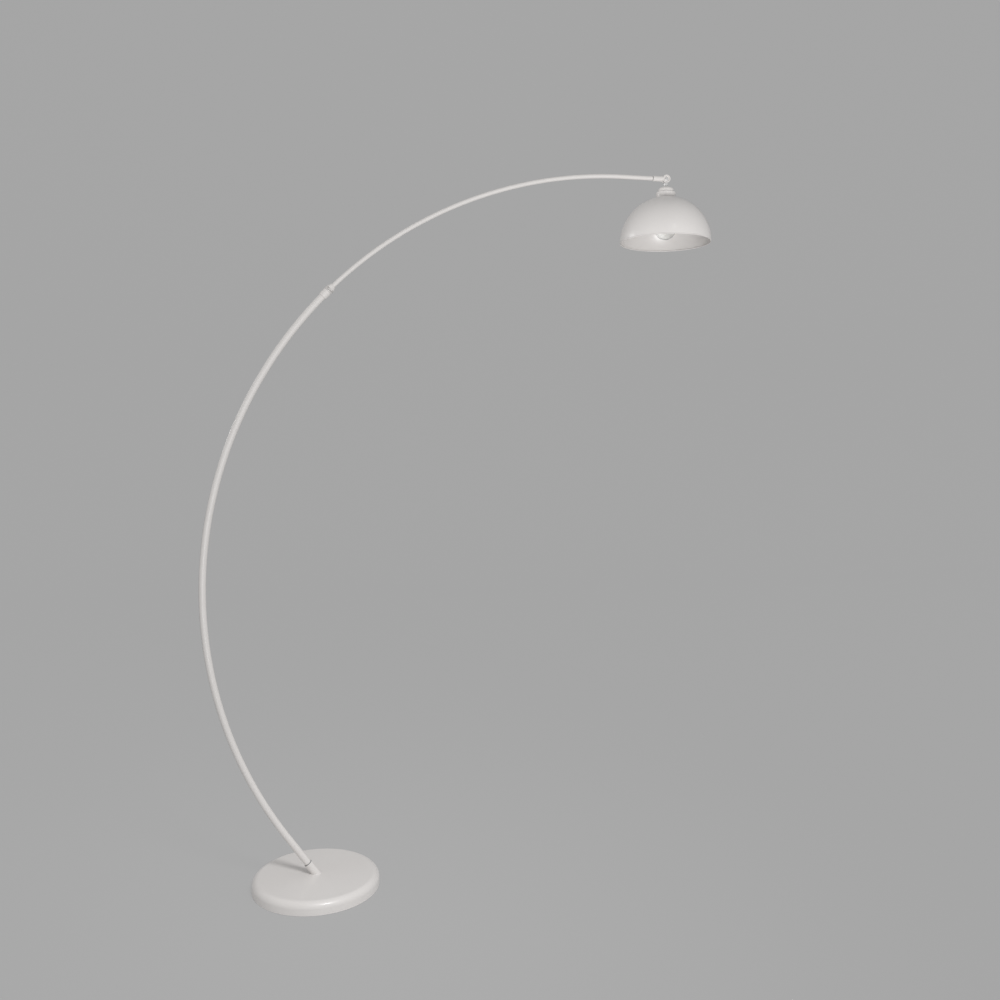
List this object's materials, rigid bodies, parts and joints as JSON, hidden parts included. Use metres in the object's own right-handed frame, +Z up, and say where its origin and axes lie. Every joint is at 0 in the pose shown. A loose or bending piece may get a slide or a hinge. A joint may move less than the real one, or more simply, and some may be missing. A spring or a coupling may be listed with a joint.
{
  "type": "arc floor lamp",
  "caption": "Arc floor lamp with a round weighted base, a bent pole, a telescoping bent arm with a twist lock and a tilting dome shade with its bulb.",
  "frame": {"origin": "middle of the base's underside, on the floor", "axes": "+Z up, +X the way the arm reaches, +Y to the back as pictured"},
  "size_m": [1.4054, 0.344, 1.9541],
  "materials": {
    "white_paint": "gloss powder coat",
    "felt": "felt",
    "ballast": "cast concrete",
    "zinc_steel": "zinc plated",
    "nickel": "satin nickel plated",
    "rubber": "moulded",
    "dark_rubber": "moulded",
    "lead_sheath": "extruded",
    "guide_plastic": "moulded",
    "holder_plastic": "moulded",
    "ceramic": "unglazed",
    "brass": "plain",
    "cap_metal": "bright",
    "black_glass": "vitrified",
    "clear_glass": "clear",
    "filament": "phosphor coated"
  },
  "bodies": {
    "base": {"felt_pad": "felt", "base_plate": "zinc_steel", "plate_screws": "zinc_steel", "base_weight": "ballast", "base_cover": "white_paint", "cord_grommet": "rubber", "pole_socket": "white_paint", "pole_set_screw": "zinc_steel", "socket_seal": "dark_rubber", "socket_washer": "zinc_steel", "socket_nut": "zinc_steel", "lower_pole": "white_paint", "pole_lead": "lead_sheath", "pole_collar": "white_paint", "collet": "guide_plastic"},
    "lock_nut": {"lock_nut": "white_paint"},
    "arm": {"upper_arm": "white_paint", "arm_guide_bush": "guide_plastic", "arm_lead": "lead_sheath", "arm_seal": "dark_rubber", "arm_fitting": "white_paint", "knuckle_screw": "nickel", "knuckle_nut": "nickel", "friction_washers": "guide_plastic"},
    "head": {"knuckle_tongue": "nickel", "nipple": "nickel", "nipple_lock_nut": "nickel", "holder_cup": "white_paint", "shade": "white_paint", "shade_ring": "holder_plastic", "holder_body": "holder_plastic", "holder_insert": "ceramic", "holder_screw_shell": "brass", "holder_contacts": "brass", "terminal_screws": "brass", "head_lead": "lead_sheath", "bulb_glass": "clear_glass", "bulb_cap": "cap_metal", "bulb_insulator": "black_glass", "bulb_contact": "brass", "bulb_stem": "clear_glass", "filament_wires": "cap_metal", "bulb_filaments": "filament"}
  },
  "joints": [
    {"name": "lock_nut_turn", "type": "hinge", "parent": "base", "child": "lock_nut", "pos_m": [0.04908, 0, 1.60524], "axis": [0.7047, 0, 0.7096], "range_deg": [0, 120]},
    {"name": "arm_slide", "type": "hinge", "parent": "base", "child": "arm", "pos_m": [0.86081, 0, 0.79912], "axis": [0, -1, 0], "range_deg": [0, 40]},
    {"name": "head_tilt", "type": "hinge", "parent": "arm", "child": "head", "pos_m": [0.98581, 0, 1.94312], "axis": [0, -1, 0], "range_deg": [-28, 80]}
  ]
}
